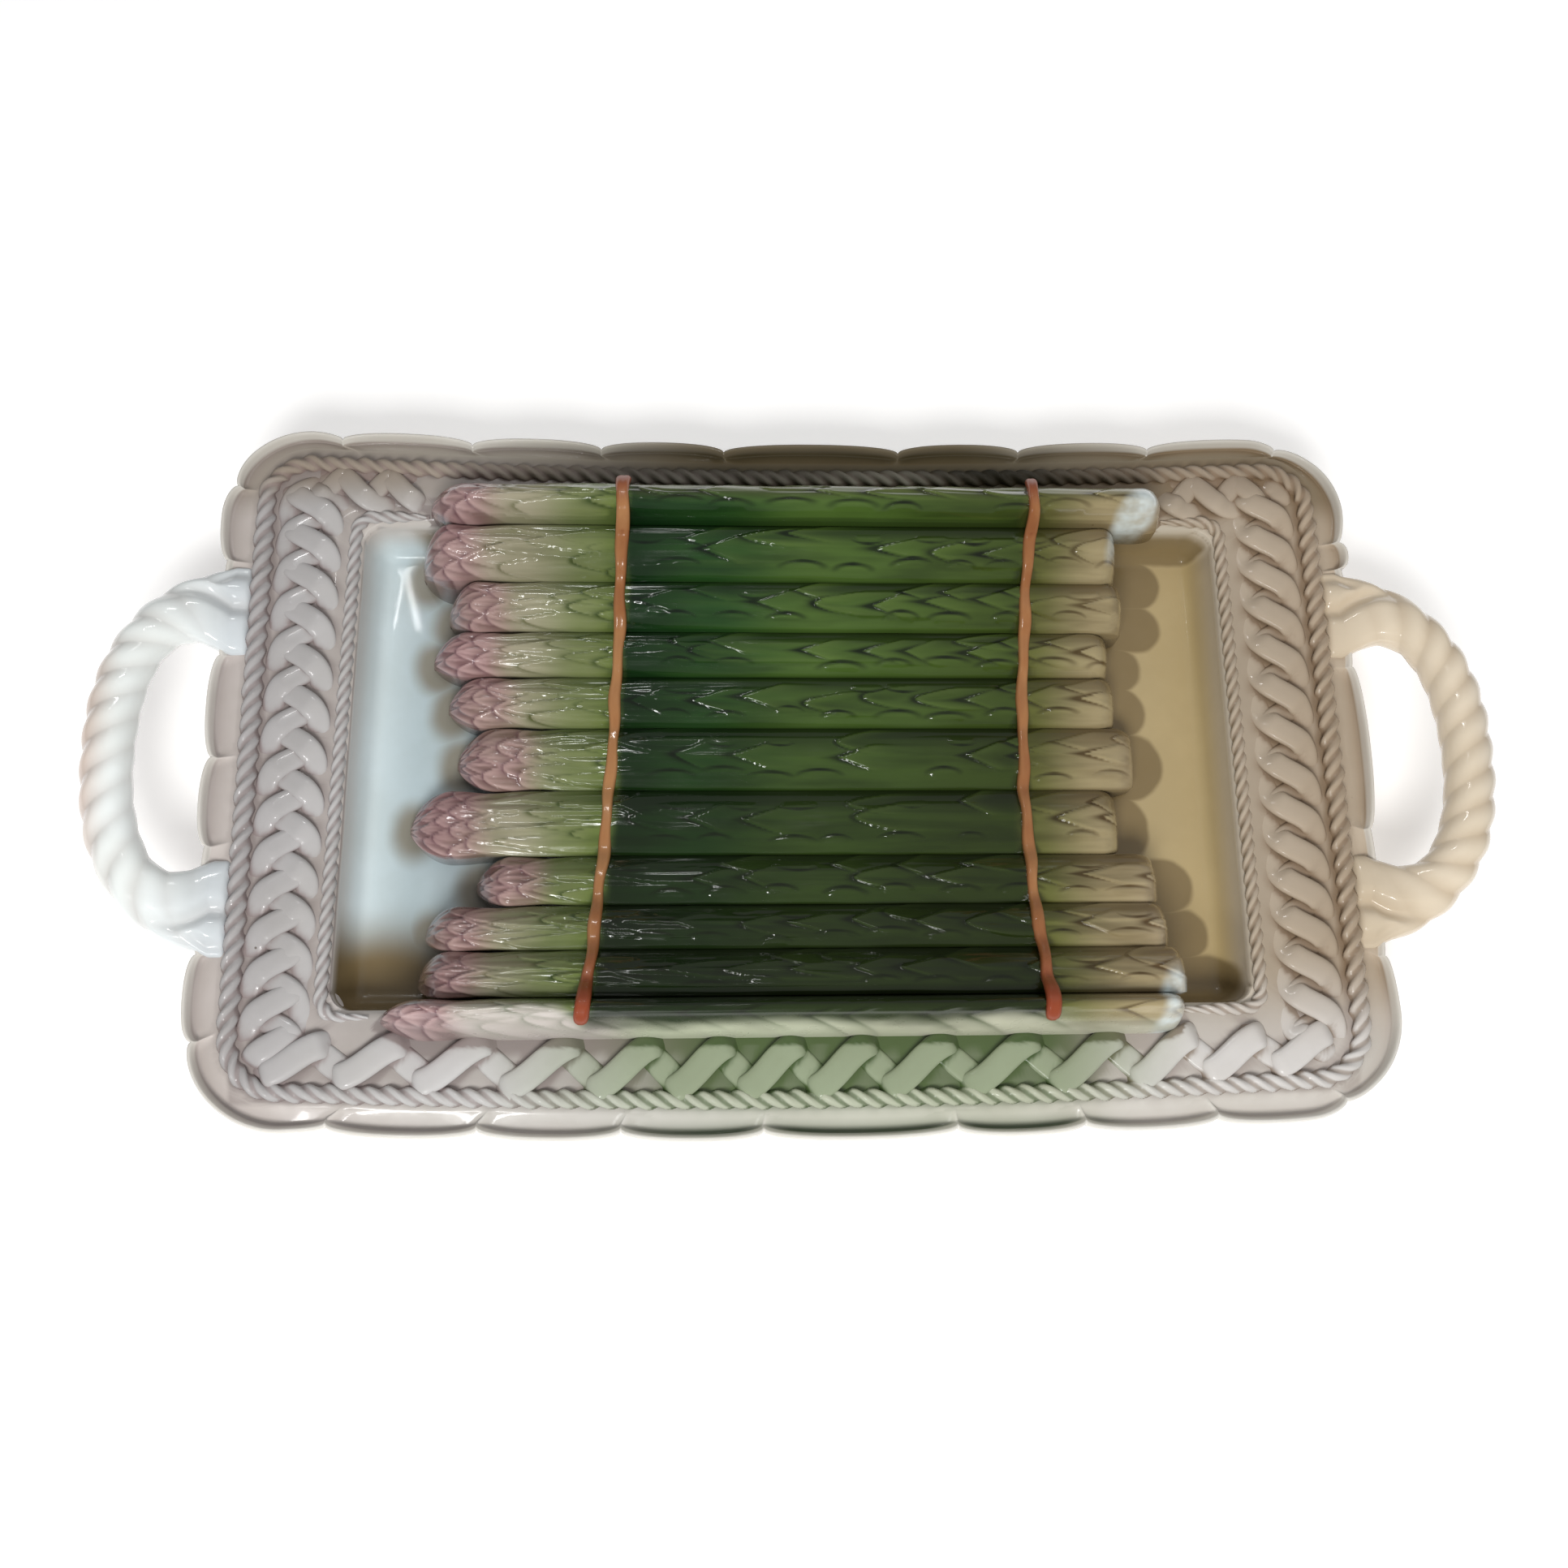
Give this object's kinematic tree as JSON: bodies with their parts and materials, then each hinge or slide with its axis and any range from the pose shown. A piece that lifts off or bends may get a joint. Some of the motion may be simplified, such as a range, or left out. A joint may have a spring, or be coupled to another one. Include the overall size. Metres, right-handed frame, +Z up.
{
  "type": "asparagus plate",
  "caption": "Glazed earthenware asparagus platter: a cradle of moulded spears with ties, draining wells, roped and plaited border, lobed lip and twisted rope handles.",
  "frame": {"origin": "under the middle of the platter's overall box, on the plane the foot ring stands on", "axes": "+X from the spears' tips towards their cut ends, along the handles' span; +Y towards the far long side; +Z up"},
  "size_m": [0.4168, 0.2175, 0.0537],
  "materials": {
    "dish_glaze": "gloss",
    "spear_glaze": "gloss",
    "tie_glaze": "gloss",
    "rope_glaze": "gloss",
    "plait_glaze": "gloss",
    "handle_glaze": "gloss"
  },
  "bodies": {
    "root": {"dish": "dish_glaze", "spear_01": "spear_glaze", "spear_02": "spear_glaze", "spear_03": "spear_glaze", "spear_04": "spear_glaze", "spear_05": "spear_glaze", "spear_06": "spear_glaze", "spear_07": "spear_glaze", "spear_08": "spear_glaze", "spear_09": "spear_glaze", "spear_10": "spear_glaze", "spear_11": "spear_glaze", "left_tie": "tie_glaze", "right_tie": "tie_glaze", "border_rope": "rope_glaze", "left_well_rope": "rope_glaze", "right_well_rope": "rope_glaze", "left_plait": "plait_glaze", "right_plait": "plait_glaze", "near_plait": "plait_glaze", "far_plait": "plait_glaze", "left_handle": "handle_glaze", "right_handle": "handle_glaze"}
  },
  "joints": []
}
